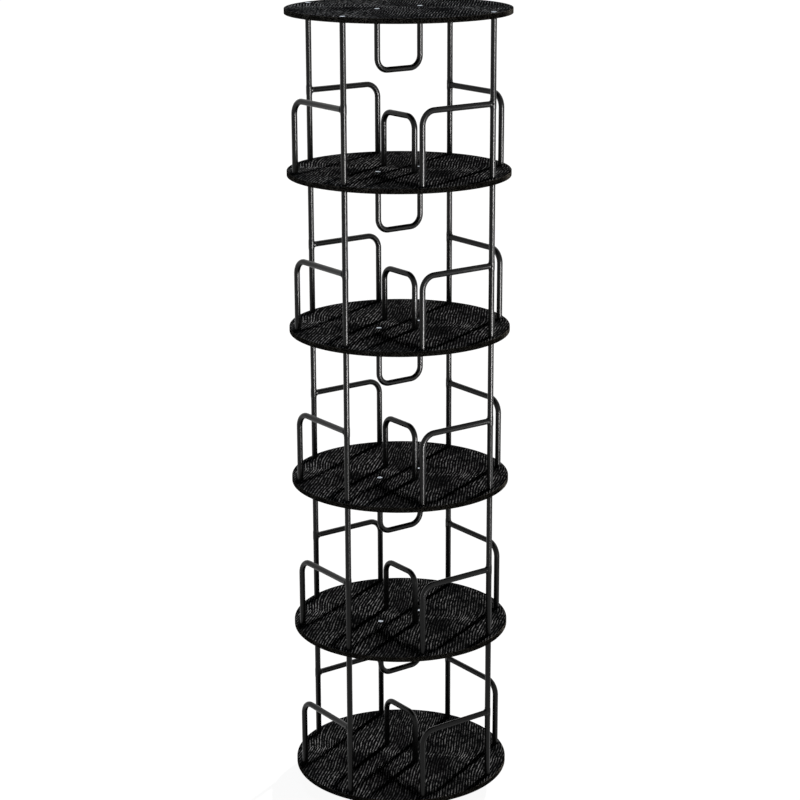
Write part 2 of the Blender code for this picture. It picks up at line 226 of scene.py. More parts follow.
def swept(name, rings, side):
    """A capped tube through (point, direction, radius) rings that lie along a flat path."""
    work = bmesh.new()
    loops = []
    for point, direction, radius in rings:
        across = direction.cross(side)
        loop = []
        for i in range(TUBE_SIDES):
            angle = 2 * pi * i / TUBE_SIDES
            loop.append(work.verts.new(point + radius * (side * cos(angle) + across * sin(angle))))
        loops.append(loop)
    bridge(work, loops, False)
    return finished(work, name)


def bored(point, direction, inward):
    """Rings of a cut tube end with an eased edge and a bore, from the bore's floor to the outside.

    Inward is 1 where the direction leads into the tube, and -1 where it leads out of it.
    """
    return [
        (point + direction * inward * BORE_DEPTH, direction, HOLE_RADIUS),
        (point, direction, HOLE_RADIUS),
        (point, direction, TUBE_RADIUS - TUBE_EDGE),
        (point + direction * inward * TUBE_EDGE, direction, TUBE_RADIUS),
    ]


def bored_start(path):
    return bored(*path[0], 1)


def bored_end(path):
    return bored(*path[-1], -1)[::-1]


def settled(obj):
    """The object's mesh with its modifiers applied. The object is removed."""
    bpy.context.scene.collection.objects.link(obj)
    graph = bpy.context.evaluated_depsgraph_get()
    mesh = bpy.data.meshes.new_from_object(obj.evaluated_get(graph))
    bpy.data.objects.remove(obj)
    return mesh


def combined(mesh, tool_mesh, operation):
    """A mesh joined with, cut by or limited to another."""
    tool = bpy.data.objects.new("tool", tool_mesh)
    bpy.context.scene.collection.objects.link(tool)
    obj = bpy.data.objects.new("work", mesh)
    boolean = obj.modifiers.new("Boolean", "BOOLEAN")
    boolean.operation = operation
    boolean.object = tool
    result = settled(obj)
    bpy.data.objects.remove(tool)
    return result


def gathered(name, items):
    """One mesh that holds a copy of each (mesh, matrix) item."""
    work = bmesh.new()
    for mesh, matrix in items:
        copy = mesh.copy()
        copy.transform(matrix)
        work.from_mesh(copy)
        bpy.data.meshes.remove(copy)
    return finished(work, name)


def at(place):
    return Matrix.Translation(place)


def upside_down(place):
    return Matrix.Translation(place) @ Matrix.Rotation(pi, 4, "X")


def around(distance, angle):
    return Vector((distance * cos(angle), distance * sin(angle), 0))


def up(height):
    return Vector((0, 0, height))


def frame_point(angle, along):
    """A point in the plane of the side frame that faces an angle, so far along it from its middle."""
    return Matrix.Rotation(angle, 3, "Z") @ Vector((FRAME_DISTANCE, along, 0))


POST_PLACES = {side: frame_point(angle, FRAME_SPAN / 2) for side, angle in SIDES.items()}
LEG_PLACES = {side: frame_point(angle, -FRAME_SPAN / 2) for side, angle in SIDES.items()}
HANGING_PLACES = {end: around(LOOP_SPAN / 2, angle) for end, angle in HANGING_ENDS.items()}
STANDING_PLACES = {end: around(LOOP_SPAN / 2, angle) for end, angle in STANDING_ENDS.items()}
UNDERSIDE_PLACES = [*LEG_PLACES.values(), *STANDING_PLACES.values()]  # of the screws from below
PLATE_SCREW_PLACES = [
    around(PLATE_SCREW_CIRCLE, 2 * pi * i / PLATE_SCREW_COUNT) for i in range(PLATE_SCREW_COUNT)
]


# Materials

class Graph:
    """A material's node tree, with a principled shader at its end."""

    def __init__(self, name, colour, roughness, metallic, specular):
        self.material = bpy.data.materials.new(name)
        self.material.use_nodes = True
        self.material.diffuse_color = (*colour, 1)
        self.nodes = self.material.node_tree.nodes
        self.links = self.material.node_tree.links
        self.shader = self.nodes["Principled BSDF"]
        self.shader.inputs["Base Color"].default_value = (*colour, 1)
        self.shader.inputs["Roughness"].default_value = roughness
        self.shader.inputs["Metallic"].default_value = metallic
        self.shader.inputs["Specular IOR Level"].default_value = specular

    def node(self, kind, settings=None, **inputs):
        """A node with its properties set, and its inputs set or linked by name."""
        node = self.nodes.new(kind)
        for key, value in (settings or {}).items():
            setattr(node, key, value)
        for key, value in inputs.items():
            self.feed(node.inputs[key], value)
        return node

    def feed(self, socket, value):
        """Links another node's output to a socket, or sets the socket to a plain value."""
        if isinstance(value, bpy.types.NodeSocket):
            self.links.new(value, socket)
        else:
            socket.default_value = value

    def place(self, scale):
        """Scaled object coordinates."""
        where = self.node("ShaderNodeTexCoord").outputs["Object"]
        return self.node("ShaderNodeMapping", Vector=where, Scale=scale).outputs["Vector"]

    def noise(self, vector, scale, detail=2.0, roughness=0.5):
        return self.node(
            "ShaderNodeTexNoise", Vector=vector, Scale=scale, Detail=detail, Roughness=roughness
        ).outputs["Fac"]

    def math(self, operation, one, two=0.0, clamp=False):
        node = self.node("ShaderNodeMath", {"operation": operation, "use_clamp": clamp})
        for socket, value in zip(node.inputs, (one, two)):
            self.feed(socket, value)
        return node.outputs["Value"]

    def ranged(self, value, low, high, to_low=0.0, to_high=1.0, smooth=False):
        """A value taken from one range to another, and held at its ends."""
        kind = "SMOOTHSTEP" if smooth else "LINEAR"
        node = self.node("ShaderNodeMapRange", {"interpolation_type": kind}, Value=value)
        ends = {"From Min": low, "From Max": high, "To Min": to_low, "To Max": to_high}
        for key, number in ends.items():
            self.feed(node.inputs[key], number)
        return node.outputs["Result"]

    def mixed(self, factor, one, two):
        """A blend of two colours."""
        node = self.node("ShaderNodeMix", {"data_type": "RGBA"}, Factor=factor)
        for key, colour in (("A_Color", one), ("B_Color", two)):
            socket = next(s for s in node.inputs if s.identifier == key)
            self.feed(socket, (*colour, 1))
        return next(s for s in node.outputs if s.identifier == "Result_Color")

    def bump(self, height, distance, strength):
        node = self.node("ShaderNodeBump", Height=height, Distance=distance, Strength=strength)
        return node.outputs["Normal"]

    def use(self, **sockets):
        """The finished material, with the shader's named inputs fed."""
        for key, value in sockets.items():
            self.feed(self.shader.inputs[key.replace("_", " ")], value)
        return self.material


GRAIN_PITCH = 0.005  # from one row of pores to the next
GRAIN_SWAY = 0.040  # how far the rows wander
GRAIN_RIPPLE = 0.003  # how far they ripple on the way
GRAIN_REPEAT = 0.200  # length of the print
GRAIN_SHEEN_BAND = 0.012  # on each side of the middle, where two prints meet; the pores there are painted paler, as a painted sheen


def grain_material():
    """Black open-pore laminate: wavy rows of pale pores along Y, on a near-black ground."""
    g = Graph("black_wood_laminate", (0.004, 0.004, 0.004), 0.6, 0.0, 0.0)
    split = g.node("ShaderNodeSeparateXYZ", Vector=g.place((1, 1, 1)))
    across, along = split.outputs["X"], split.outputs["Y"]
    # The print repeats along Y, so its rows break at the middle of the board
    tile = g.math("MULTIPLY", g.math("FRACT", g.math("DIVIDE", along, GRAIN_REPEAT)), GRAIN_REPEAT)
    sheet = g.node("ShaderNodeCombineXYZ", X=across, Y=tile).outputs["Vector"]

    def printed(scale, detail=2.0, roughness=0.5):
        spot = g.node("ShaderNodeMapping", Vector=sheet, Scale=scale).outputs["Vector"]
        return g.noise(spot, 1.0, detail, roughness)

    sway = printed((5.0, 6.5, 1), 1.0)
    ripple = printed((60, 22, 1), 1.0)
    shift = g.math("ADD", g.math("MULTIPLY", sway, GRAIN_SWAY), g.math("MULTIPLY", ripple, GRAIN_RIPPLE))
    row = g.math("DIVIDE", g.math("ADD", across, shift), GRAIN_PITCH)
    wave = g.math("SINE", g.math("MULTIPLY", row, 2 * pi))
    waver = g.math("MULTIPLY", g.math("SUBTRACT", printed((260, 70, 1), 2.0, 0.6), 0.5), 1.6)
    line = g.ranged(g.math("ADD", wave, waver), 0.45, 1.1, smooth=True)
    dash = g.ranged(printed((150, 60, 1), 2.0, 0.6), 0.38, 0.62, 0.05, 1.0, smooth=True)
    fleck = g.ranged(printed((420, 160, 1), 2.0, 0.65), 0.55, 0.75, smooth=True)
    patch = g.ranged(printed((14, 9, 1)), 0.34, 0.66, 0.12, 1.1)
    rows = g.math("ADD", g.math("MULTIPLY", line, dash), g.math("MULTIPLY", fleck, 0.12))
    # Painted sheen: the pores are made paler in a band along the middle, where the two prints meet
    seam_sheen = g.ranged(g.math("ABSOLUTE", along), 0.0, GRAIN_SHEEN_BAND, 2.2, 1.0, smooth=True)
    pores = g.math("MULTIPLY", g.math("MULTIPLY", rows, patch), seam_sheen, clamp=True)
    colour = g.mixed(pores, (0.0020, 0.0021, 0.0024), (0.24, 0.24, 0.245))
    fine = g.noise(g.place((2200, 500, 2200)), 1.0, 2.0)
    rough = g.ranged(fine, 0.3, 0.7, 0.54, 0.66)
    height = g.math("SUBTRACT", g.math("MULTIPLY", fine, 0.25), pores)
    return g.use(Base_Color=colour, Roughness=rough, Normal=g.bump(height, 0.0001, 0.3))


def edge_material():
    """The board's edge band: black, with short pale flecks along it that are painted sheen, standing in
    for the gloss of the band.
    """
    g = Graph("black_edge_band", (0.003, 0.003, 0.003), 0.6, 0.0, 0.0)
    speck = g.ranged(g.noise(g.place((420, 420, 900)), 1.0, 3.0, 0.7), 0.44, 0.66, smooth=True)
    patch = g.ranged(g.noise(g.place((45, 45, 45)), 1.0, 1.0), 0.3, 0.7, 0.3, 1.0)
    # Painted sheen: the pale flecks stand in for the band's gloss where light grazes it
    sheen_flecks = g.math("MULTIPLY", speck, patch)
    colour = g.mixed(sheen_flecks, (0.0015, 0.0015, 0.0015), (0.300, 0.275, 0.240))
    rough = g.ranged(sheen_flecks, 0.0, 1.0, 0.55, 0.7)
    return g.use(Base_Color=colour, Roughness=rough, Normal=g.bump(sheen_flecks, 0.0004, 0.6))


def coat_material():
    """Satin black powder coat with a fine orange peel."""
    g = Graph("black_powder_coat", (0.004, 0.004, 0.004), 0.31, 0.0, 0.18)
    peel = g.noise(g.place((1, 1, 1)), 900.0, 2.0)
    cloud = g.noise(g.place((1, 1, 1)), 35.0, 3.0)
    colour = g.mixed(cloud, (0.0030, 0.0030, 0.0031), (0.0048, 0.0047, 0.0046))
    rough = g.ranged(cloud, 0.3, 0.7, 0.29, 0.34)
    return g.use(Base_Color=colour, Roughness=rough, Normal=g.bump(peel, 0.00001, 0.1))


def zinc_material():
    """Bright zinc plate with fine turning marks and a cool cast."""
    g = Graph("bright_zinc", (0.70, 0.76, 0.84), 0.45, 0.7, 0.5)
    marks = g.noise(g.place((1, 1, 6)), 1400.0, 3.0, 0.7)
    cloud = g.noise(g.place((1, 1, 1)), 160.0, 2.0)
    colour = g.mixed(cloud, (0.62, 0.70, 0.80), (0.78, 0.83, 0.88))
    rough = g.ranged(g.math("ADD", marks, cloud), 0.6, 1.4, 0.36, 0.55)
    return g.use(Base_Color=colour, Roughness=rough, Normal=g.bump(marks, 0.00003, 0.4))


def steel_material():
    """Bare pressed steel, rolled along one direction and slightly oily."""
    g = Graph("pressed_steel", (0.42, 0.42, 0.43), 0.38, 1.0, 0.5)
    rolled = g.noise(g.place((1500, 25, 1500)), 1.0, 3.0, 0.65)
    oil = g.noise(g.place((1, 1, 1)), 28.0, 3.0)
    colour = g.mixed(oil, (0.34, 0.33, 0.32), (0.50, 0.50, 0.51))
    rough = g.ranged(g.math("ADD", rolled, oil), 0.6, 1.4, 0.26, 0.5)
    return g.use(Base_Color=colour, Roughness=rough, Normal=g.bump(rolled, 0.00004, 0.4))


def rubber_material():
    """Matt black rubber with a moulded grain and a dusty bloom."""
    g = Graph("black_rubber", (0.014, 0.014, 0.014), 0.85, 0.0, 0.3)
    moulded = g.noise(g.place((1, 1, 1)), 700.0, 3.0, 0.6)
    bloom = g.noise(g.place((1, 1, 1)), 40.0, 3.0)
    colour = g.mixed(bloom, (0.010, 0.010, 0.010), (0.024, 0.023, 0.022))
    rough = g.ranged(bloom, 0.3, 0.7, 0.75, 0.92)
    return g.use(Base_Color=colour, Roughness=rough, Normal=g.bump(moulded, 0.0002, 0.4))


laminate = grain_material()
edge_band = edge_material()
powder_coat = coat_material()
zinc = zinc_material()
steel = steel_material()
rubber = rubber_material()


# Pieces

def add_piece(name, mesh, materials, body, node=None, place=(0, 0, 0), turn=(0, 0, 0)):
    """Puts a fine piece in the scene. It rides on a body, and stands for a node where one is named."""
    if not mesh.materials:
        for material in materials:
            mesh.materials.append(material)
        mesh.shade_smooth()
        mesh.set_sharp_from_angle(angle=SHARP_ANGLE)
    piece = bpy.data.objects.new(name, mesh)
    bpy.context.scene.collection.objects.link(piece)
    piece.location = place
    piece.rotation_euler = turn
    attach(piece, body)
    if node:
        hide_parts(node)


def band_edges(mesh, radius):
    """Gives the side of a round board its edge material, and leaves its two faces to the first one."""
    for polygon in mesh.polygons:
        flat = abs(polygon.normal.z) > FLAT_NORMAL
        inside = hypot(*polygon.center[:2]) < radius - 2 * RIM_ROUND
        polygon.material_index = 0 if flat or inside else 1


def board_rim(radius, top, bottom):
    """Profile points of a round board with two eased edges."""
    return eased(radius, top, RIM_ROUND, 1, 1) + eased(radius, bottom, RIM_ROUND, 1, -1)[::-1]


def plain_hole(low, high, radius=HOLE_RADIUS):
    return turned("hole", [(radius, high), (radius, low)], HOLE_SIDES)


def countersunk_hole():
    """Cutter for a hole with a seat for a screw's head, from a top face at height 0."""
    seat = HEAD_RADIUS + THREAD_CLEARANCE
    profile = [
        (seat, CUT_MARGIN),
        (seat, -HEAD_RIM),
        (HOLE_RADIUS, -HEAD_HEIGHT),
        (HOLE_RADIUS, -BOARD_THICKNESS - CUT_MARGIN),
    ]
    return turned("countersunk_hole", profile, HOLE_SIDES)


def add_boards():
    """Six round boards with eased rims, drilled for studs and for screws from above and below."""
    through = plain_hole(-BOARD_THICKNESS - CUT_MARGIN, CUT_MARGIN)
    seat = countersunk_hole()
    pilot_top = -BOARD_THICKNESS * PILOT_STOP
    pilot = plain_hole(-BOARD_THICKNESS - CUT_MARGIN, pilot_top, PLATE_SCREW_HOLE)
    studs = [(through, at(place)) for place in POST_PLACES.values()]
    from_below = [(seat, upside_down(place - up(BOARD_THICKNESS))) for place in UNDERSIDE_PLACES]
    from_above = [(seat, at(place)) for place in HANGING_PLACES.values()]
    over_posts = [(seat, at(place)) for place in POST_PLACES.values()]
    pilots = [(pilot, at(place)) for place in PLATE_SCREW_PLACES]
    rim = board_rim(BOARD_RADIUS, 0, -BOARD_THICKNESS)
    for index, node in enumerate(BOARDS):
        if index == 0:
            holes = studs + from_below + pilots
        elif index < TIERS:
            holes = studs + from_below + from_above
        else:
            holes = over_posts + from_above
        disc = turned("disc", rim, DISC_SIDES)
        mesh = combined(disc, gathered("holes", holes), "DIFFERENCE")
        mesh.name = f"{node}_fine"
        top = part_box(node)[1].z
        add_piece(f"{node}_fine", mesh, [laminate, edge_band], "tower", node, up(top))
        band_edges(mesh, BOARD_RADIUS)


def thread_profile(start, end):
    """Ridges of a screw thread down a shank, as profile points."""
    points = []
    ridges = int((start - end) / THREAD_PITCH)
    for i in range(ridges):
        top = start - i * THREAD_PITCH
        points.append((THREAD_RADIUS - THREAD_RIDGE, top))
        points.append((THREAD_RADIUS, top - THREAD_PITCH / 2))
    points.append((THREAD_RADIUS - THREAD_RIDGE, start - ridges * THREAD_PITCH))
    points.append((THREAD_RADIUS - 2 * THREAD_RIDGE, end))
    return points


def side_frame_mesh(post_length, stud_length):
    """Post with its collar and threaded stud, and the guard tube welded to it, facing +X."""
    rail = GUARD_HEIGHT - SEAT_GAP
    collar = TUBE_RADIUS + COLLAR_BUILD_UP
    half = COLLAR_LENGTH / 2
    profile = [
        (HOLE_RADIUS, post_length - BORE_DEPTH),
        (HOLE_RADIUS, post_length),
        (TUBE_RADIUS - TUBE_EDGE, post_length),
        (TUBE_RADIUS, post_length - TUBE_EDGE),
        (TUBE_RADIUS, rail + half),
        (TUBE_RADIUS + COLLAR_BUILD_UP / 2, rail + half - COLLAR_TAPER / 3),
        (collar, rail + half - COLLAR_TAPER),
        (collar, rail - half + COLLAR_TAPER),
        (TUBE_RADIUS + COLLAR_BUILD_UP / 2, rail - half + COLLAR_TAPER / 3),
        (TUBE_RADIUS, rail - half),
        (TUBE_RADIUS, TUBE_EDGE),
        (TUBE_RADIUS - TUBE_EDGE, 0),
        *thread_profile(0, -stud_length),
    ]
    post = turned("post", profile, TUBE_SIDES)
    post_place = frame_point(0, FRAME_SPAN / 2)
    leg_place = frame_point(0, -FRAME_SPAN / 2)
    post.transform(at(post_place))
    path = bent_path([post_place + up(rail), leg_place + up(rail), leg_place], GUARD_BEND)
    start, direction = path[0]
    face = collar * cos(WELD_SEAT)
    rings = [
        (start, direction, TUBE_RADIUS - COLLAR_BUILD_UP),
        (start + direction * (face - WELD_SPREAD), direction, TUBE_RADIUS + WELD_SPREAD),
    ]
    for reach, spread in WELD_SHAPE:
        point = start + direction * (face + WELD_REACH * reach)
        rings.append((point, direction, TUBE_RADIUS + WELD_SPREAD * spread))
    rings += [(point, along, TUBE_RADIUS) for point, along in path[1:-1]]
    guard = swept("guard", rings + bored_end(path), Vector((1, 0, 0)))
    return combined(post, guard, "UNION")


def add_side_frames():
    low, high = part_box("tier1_side_frame_ne")
    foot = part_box(BOARDS[0])[1].z + SEAT_GAP
    mesh = side_frame_mesh(high.z - foot, foot - low.z)
    mesh.name = "side_frame_fine"
    for tier in range(1, TIERS + 1):
        place = up(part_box(BOARDS[tier - 1])[1].z + SEAT_GAP)
        for side, angle in SIDES.items():
            node = f"tier{tier}_side_frame_{side}"
            turn = (0, 0, angle)
            add_piece(f"{node}_fine", mesh, [powder_coat], "tower", node, place, turn)


def add_loops():
    """The standing and the hanging loops: one bent tube, with a bore in the end of each leg."""
    left = Vector((-LOOP_SPAN / 2, 0, 0))
    right = Vector((LOOP_SPAN / 2, 0, 0))
    crossbar = up(LOOP_REACH - SEAT_GAP)
    path = bent_path([left, left + crossbar, right + crossbar, right], LOOP_BEND)
    middle = [(point, direction, TUBE_RADIUS) for point, direction in path[1:-1]]
    mesh = swept("loop_fine", bored_start(path) + middle + bored_end(path), Vector((0, 1, 0)))
    for tier in range(1, TIERS + 1):
        floor = up(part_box(BOARDS[tier - 1])[1].z + SEAT_GAP)
        ceiling = up(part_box(BOARDS[tier])[0].z - SEAT_GAP)
        for kind, place, turn in (
            ("standing", floor, (0, 0, STANDING_ENDS["nw"])),
            ("hanging", ceiling, (pi, 0, HANGING_ENDS["ne"])),
        ):
            node = f"tier{tier}_{kind}_loop"
            add_piece(f"{node}_fine", mesh, [powder_coat], "tower", node, place, turn)


def cross_recess():
    """Cutter for the cross in a screw's head, from a top face at height 0."""
    arms = []
    for angle in (0, pi / 2):
        work = bmesh.new()
        bmesh.ops.create_cube(work, size=1)
        for vert in work.verts:
            deep = vert.co.z < 0
            spread = RECESS_TAPER if deep else 1
            vert.co.x *= 2 * RECESS_SPAN * spread
            vert.co.y *= RECESS_WIDTH
            vert.co.z = -RECESS_DEPTH if deep else CUT_MARGIN
        arm = finished(work, "arm")
        arm.transform(Matrix.Rotation(angle, 4, "Z"))
        arms.append(arm)
    return combined(*arms, "UNION")


def countersunk_screw():
    """A countersunk screw with a cross recess and a threaded shank, its top face at height 0."""
    length = BOARD_THICKNESS + SEAT_GAP + THREAD_HOLD
    profile = [
        (HEAD_RADIUS - HEAD_EDGE, 0),
        (HEAD_RADIUS, -HEAD_EDGE),
        (HEAD_RADIUS, -HEAD_RIM),
        (THREAD_RADIUS, -HEAD_HEIGHT),
        *thread_profile(-HEAD_HEIGHT - THREAD_PITCH, -length),
    ]
    return combined(turned("screw", profile, HOLE_SIDES), cross_recess(), "DIFFERENCE")


def add_screws():
    """Screws from above that the model has as nodes, and those from below, gathered board by board."""
    mesh = countersunk_screw()
    mesh.name = "screw_fine"
    turns = count(FIRST_TURN, TURN_STEP)

    def add_screw(node, place, board):
        top = up(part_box(board)[1].z)
        turn = (0, 0, next(turns))
        add_piece(f"{node}_fine", mesh, [zinc], "tower", node, place + top, turn)

    for side, place in POST_PLACES.items():
        add_screw(f"post_screw_{side}", place, BOARDS[TIERS])
    for tier in range(1, TIERS + 1):
        for end, place in HANGING_PLACES.items():
            add_screw(f"tier{tier}_loop_screw_{end}", place, BOARDS[tier])
    for node in BOARDS[:TIERS]:
        under = up(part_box(node)[0].z)
        items = []
        for place in UNDERSIDE_PLACES:
            turn = Matrix.Rotation(next(turns), 4, "Z")
            items.append((mesh, upside_down(place + under) @ turn))
        below = gathered(f"{node}_underside_screws", items)
        add_piece(f"{node}_underside_screws", below, [zinc], "tower")


def add_nuts():
    """Chamfered nuts on the studs of the lowest posts."""
    corner = NUT_FLAT / cos(pi / 6)
    hexagon = turned("nut", [(corner, 0), (corner, -NUT_HEIGHT)], 6)
    drop = NUT_CHAMFER * tan(NUT_SLOPE)
    outline = [
        (corner - NUT_CHAMFER, 0),
        (corner, -drop),
        (corner, drop - NUT_HEIGHT),
        (corner - NUT_CHAMFER, -NUT_HEIGHT),
    ]
    slack = [(radius * CHAMFER_SLACK, height) for radius, height in outline]
    chamfered = combined(hexagon, turned("limit", slack, PLATE_SIDES), "INTERSECT")
    hole = plain_hole(-NUT_HEIGHT - CUT_MARGIN, CUT_MARGIN)
    mesh = combined(chamfered, hole, "DIFFERENCE")
    mesh.name = "nut_fine"
    for side, place in POST_PLACES.items():
        node = f"post_nut_{side}"
        top = up(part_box(node)[1].z)
        add_piece(f"{node}_fine", mesh, [zinc], "tower", node, place + top)


def plate_mesh():
    """A pressed plate with a ball track, a dished middle and screw holes, its outer face at height 0."""
    floor = TRACK_MOUTH - TRACK_DEPTH
    profile = [
        (RIVET_HOLE, PLATE_THICKNESS + DISH_DEPTH),
        (DISH_RADIUS, PLATE_THICKNESS + DISH_DEPTH),
        (DISH_RADIUS + DISH_DEPTH, PLATE_THICKNESS),
        (TRACK_RADIUS - TRACK_MOUTH, PLATE_THICKNESS),
        (TRACK_RADIUS - floor, PLATE_THICKNESS - TRACK_DEPTH),
        (TRACK_RADIUS + floor, PLATE_THICKNESS - TRACK_DEPTH),
        (TRACK_RADIUS + TRACK_MOUTH, PLATE_THICKNESS),
        (PLATE_RADIUS - PLATE_EDGE, PLATE_THICKNESS),
        (PLATE_RADIUS, PLATE_THICKNESS - PLATE_EDGE),
        (PLATE_RADIUS, PLATE_EDGE),
        (PLATE_RADIUS - PLATE_EDGE, 0),
        (DISH_RADIUS + DISH_DEPTH, 0),
        (DISH_RADIUS, DISH_DEPTH),
        (RIVET_HOLE, DISH_DEPTH),
    ]
    disc = turned("plate", profile, PLATE_SIDES, closed=True)
    hole = plain_hole(-CUT_MARGIN, PLATE_THICKNESS + CUT_MARGIN, PLATE_SCREW_HOLE)
    holes = [(hole, at(place)) for place in PLATE_SCREW_PLACES]
    return combined(disc, gathered("holes", holes), "DIFFERENCE")


def plate_screw_mesh():
    """A domed wood screw with a cross recess. The underside of its head is at height 0."""
    dome = []
    for step in range(ROUND_STEPS):
        angle = pi / 2 * (1 - step / ROUND_STEPS)
        radius = PLATE_SCREW_HEAD * cos(angle) + PLATE_SCREW_CROWN * sin(angle)
        dome.append((radius, PLATE_SCREW_DOME * sin(angle)))
    profile = [
        *dome,
        (PLATE_SCREW_HEAD, 0),
        (PLATE_SCREW_SHANK, 0),
        (PLATE_SCREW_SHANK, -PLATE_SCREW_LENGTH * PLATE_SCREW_STRAIGHT),
        (PLATE_SCREW_SHANK * PLATE_SCREW_TIP, -PLATE_SCREW_LENGTH),
    ]
    cross = cross_recess()
    cross.transform(at(up(PLATE_SCREW_DOME)) @ Matrix.Scale(PLATE_SCREW_RECESS, 4))
    return combined(turned("plate_screw", profile, HOLE_SIDES), cross, "DIFFERENCE")


def ball_ring_mesh():
    """Balls in a flat cage, with its middle plane at height 0."""
    inner = TRACK_RADIUS - CAGE_WIDTH / 2
    outer = TRACK_RADIUS + CAGE_WIDTH / 2
    top = CAGE_THICKNESS / 2
    section = [(inner, top), (outer, top), (outer, -top), (inner, -top)]
    cage = turned("cage", section, PLATE_SIDES, closed=True)
    work = bmesh.new()
    rows = BALL_SIDES // 2
    bmesh.ops.create_uvsphere(work, u_segments=BALL_SIDES, v_segments=rows, radius=BALL_RADIUS)
    ball = finished(work, "ball")
    places = [around(TRACK_RADIUS, 2 * pi * i / BALL_COUNT) for i in range(BALL_COUNT)]
    balls = [(ball, at(place)) for place in places]
    return combined(cage, gathered("balls", balls), "UNION")


def rivet_mesh(top):
    """The pivot rivet, with a head at each end and its middle at height 0."""
    shoulder = top - RIVET_HEAD_HEIGHT
    profile = [
        (RIVET_HEAD_RADIUS - PLATE_EDGE, top),
        (RIVET_HEAD_RADIUS, top - PLATE_EDGE),
        (RIVET_HEAD_RADIUS, shoulder),
        (RIVET_RADIUS, shoulder),
        (RIVET_RADIUS, -shoulder),
        (RIVET_HEAD_RADIUS, -shoulder),
        (RIVET_HEAD_RADIUS, PLATE_EDGE - top),
        (RIVET_HEAD_RADIUS - PLATE_EDGE, -top),
    ]
    return turned("rivet", profile, PLATE_SIDES)


def add_turntable():
    """Two plates with their screws, the balls between them, and the rivet that holds them together."""
    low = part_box("turntable_lower_plate")[0].z
    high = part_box("turntable_upper_plate")[1].z
    ring_low, ring_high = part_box("turntable_ball_ring")
    level = (ring_low.z + ring_high.z) / 2
    plate = plate_mesh()
    for name, body, height, turn in (
        ("turntable_lower_plate", "base", low, (0, 0, 0)),
        ("turntable_upper_plate", "tower", high, (pi, 0, 0)),
    ):
        add_piece(f"{name}_fine", plate, [steel], body, name, up(height), turn)
    screw = plate_screw_mesh()
    on_lower = [(screw, at(place + up(low + PLATE_THICKNESS))) for place in PLATE_SCREW_PLACES]
    on_upper = [(screw, upside_down(place + up(high - PLATE_THICKNESS))) for place in PLATE_SCREW_PLACES]
    add_piece("turntable_lower_screws", gathered("lower_screws", on_lower), [zinc], "base")
    add_piece("turntable_upper_screws", gathered("upper_screws", on_upper), [zinc], "tower")
    for name, mesh, body in (
        ("turntable_ball_ring", ball_ring_mesh(), "ball_ring"),
        ("turntable_pivot", rivet_mesh(high - level), "base"),
    ):
        add_piece(f"{name}_fine", mesh, [steel], body, name, up(level))


def add_base():
    """The base board with eased rims and a groove, and the rubber ring that stands in the groove."""
    bottom = up(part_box("base_board")[0].z)
    disc = turned("disc", board_rim(BASE_RADIUS, BASE_THICKNESS, 0), DISC_SIDES)
    section = [
        (FOOT_OUTER + SEAT_GAP, FOOT_SEAT),
        (FOOT_OUTER + SEAT_GAP, -CUT_MARGIN),
        (FOOT_INNER - SEAT_GAP, -CUT_MARGIN),
        (FOOT_INNER - SEAT_GAP, FOOT_SEAT),
    ]
    groove = turned("groove", section, DISC_SIDES, closed=True)
    pilot = plain_hole(BASE_THICKNESS * PILOT_STOP, BASE_THICKNESS + CUT_MARGIN, PLATE_SCREW_HOLE)
    cuts = [(groove, at(up(0)))] + [(pilot, at(place)) for place in PLATE_SCREW_PLACES]
    mesh = combined(disc, gathered("cuts", cuts), "DIFFERENCE")
    mesh.name = "base_board_fine"
    add_piece("base_board_fine", mesh, [laminate, edge_band], "base", "base_board", bottom)
    band_edges(mesh, BASE_RADIUS)
    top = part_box("foot_ring")[1].z
    ring = eased(FOOT_OUTER, top, RIM_ROUND, 1, 1) + eased(FOOT_OUTER, 0, FOOT_ROUND, 1, -1)[::-1]
    ring += eased(FOOT_INNER, 0, FOOT_ROUND, -1, -1) + eased(FOOT_INNER, top, RIM_ROUND, -1, 1)[::-1]
    foot = turned("foot_ring_fine", ring, DISC_SIDES, closed=True)
    add_piece("foot_ring_fine", foot, [rubber], "base", "foot_ring")


add_boards()
add_side_frames()
add_loops()
add_screws()
add_nuts()
add_turntable()
add_base()


# Stage, light and camera

FLOOR_SIZE = 120.0
FLOOR_COLOUR = 0.12
FLOOR_GLOW = 0.94
WORLD_FILL = 0.05

# The sun, which gives the shadows
KEY_AZIMUTH = radians(60)
KEY_ELEVATION = radians(25)
KEY_DISTANCE = 6
KEY_ANGLE = radians(2.2)
KEY_STRENGTH = 6.5
KEY_COLOUR = (1, 0.98, 0.95)

# A soft lamp above
TOP_PLACE = (-0.4, -0.2, 3.6)  # in the camera's own plan, as is the card's
TOP_AIM = 0.8  # height on the axis that it points at
TOP_SIZE = 1.2
TOP_STRENGTH = 18
TOP_COLOUR = (0.80, 0.89, 1)

# A card that only shows in gloss, as a line along the upright tubes. It is turned up and throws a
# narrow beam, so that the level tubes don't glare from behind
CARD_PLACE = (1.03, -1.23, 0.90)
CARD_AIM = 1.24
CARD_WIDTH = 0.64
CARD_HEIGHT = 1.2
CARD_BEAM = radians(25)
CARD_STRENGTH = 8
CARD_COLOUR = (1, 0.985, 0.98)


def from_view(x, y, z):
    """A point given in the camera's own plan, where +Y is straight away from the camera."""
    return Matrix.Rotation(VIEW_YAW, 3, "Z") @ Vector((x, y, z))


